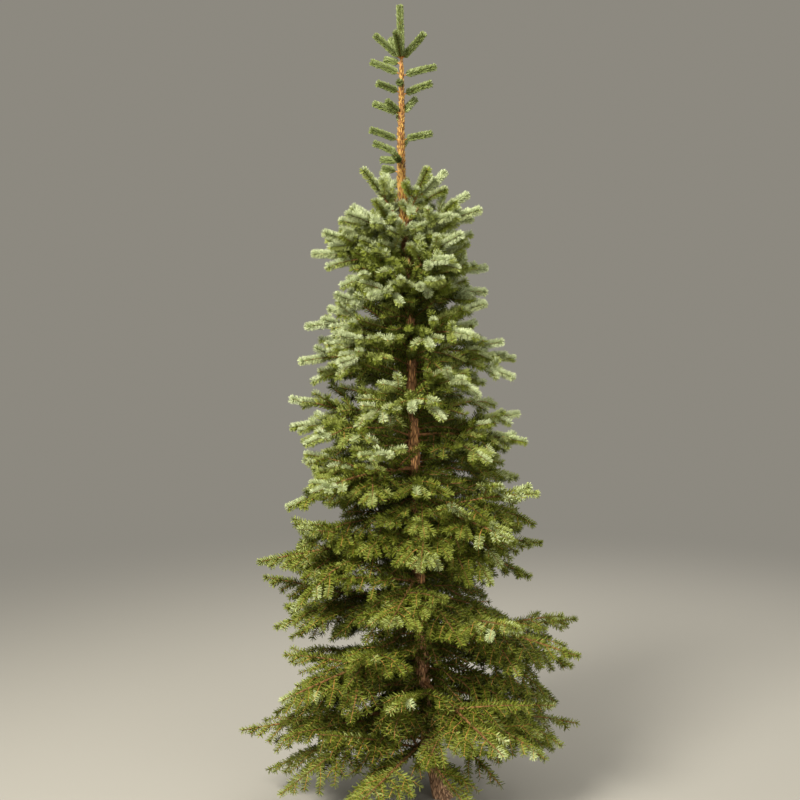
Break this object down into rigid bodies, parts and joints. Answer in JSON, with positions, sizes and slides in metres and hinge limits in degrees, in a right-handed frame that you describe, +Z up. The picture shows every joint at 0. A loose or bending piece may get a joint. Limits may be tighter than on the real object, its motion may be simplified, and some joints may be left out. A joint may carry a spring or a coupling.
{
  "type": "young white spruce tree",
  "caption": "Young white spruce with a slim cone of short-needled branches on one leaning trunk and a bare leader, for planting out a garden or field scene.",
  "frame": {"origin": "middle of the flat cut under the trunk, at ground level", "axes": "+Z up along the tree, +X to the viewer's right and -Y towards the viewer of the picture"},
  "size_m": [1.0274, 0.9887, 2.4],
  "materials": {
    "trunk_bark": "rough, scaly orange-brown bark",
    "bough_bark": "rough brown bark",
    "pale_needles": "matt blue-green needles",
    "deep_needles": "matt deep green needles",
    "leader_needles": "matt green needles"
  },
  "bodies": {
    "root": {"trunk": "trunk_bark", "leader_tip": "leader_needles", "leader_shoot_01": "leader_needles", "leader_shoot_02": "leader_needles", "leader_shoot_03": "leader_needles", "leader_shoot_04": "leader_needles", "leader_shoot_05": "leader_needles", "leader_shoot_06": "leader_needles", "leader_shoot_07": "leader_needles", "leader_shoot_08": "leader_needles", "leader_shoot_09": "leader_needles", "leader_shoot_10": "leader_needles", "foliage_01a": "pale_needles", "foliage_01b": "pale_needles", "foliage_01c": "pale_needles", "foliage_01d": "pale_needles", "foliage_02a": "pale_needles", "foliage_02b": "pale_needles", "foliage_02c": "pale_needles", "foliage_03a": "pale_needles", "foliage_03b": "pale_needles", "foliage_03c": "pale_needles", "foliage_04a": "pale_needles", "foliage_04b": "pale_needles", "foliage_04c": "pale_needles", "foliage_05a": "pale_needles", "foliage_05b": "pale_needles", "foliage_05c": "pale_needles", "foliage_06a": "pale_needles", "foliage_06b": "pale_needles", "foliage_07a": "pale_needles", "foliage_07b": "pale_needles", "foliage_08a": "pale_needles", "foliage_08b": "pale_needles", "foliage_09a": "pale_needles", "foliage_09b": "pale_needles", "foliage_10a": "deep_needles", "foliage_10b": "deep_needles", "foliage_11a": "deep_needles", "foliage_11b": "deep_needles", "foliage_12a": "deep_needles", "foliage_12b": "deep_needles", "foliage_13a": "deep_needles", "foliage_13b": "deep_needles", "foliage_14a": "deep_needles", "bough_14a": "bough_bark", "foliage_14b": "deep_needles", "bough_14b": "bough_bark", "foliage_15a": "deep_needles", "bough_15a": "bough_bark", "foliage_15b": "deep_needles", "bough_15b": "bough_bark", "foliage_16a": "deep_needles", "bough_16a": "bough_bark", "foliage_16b": "deep_needles", "bough_16b": "bough_bark", "foliage_17a": "deep_needles", "bough_17a": "bough_bark", "foliage_17b": "deep_needles", "bough_17b": "bough_bark"}
  },
  "joints": []
}
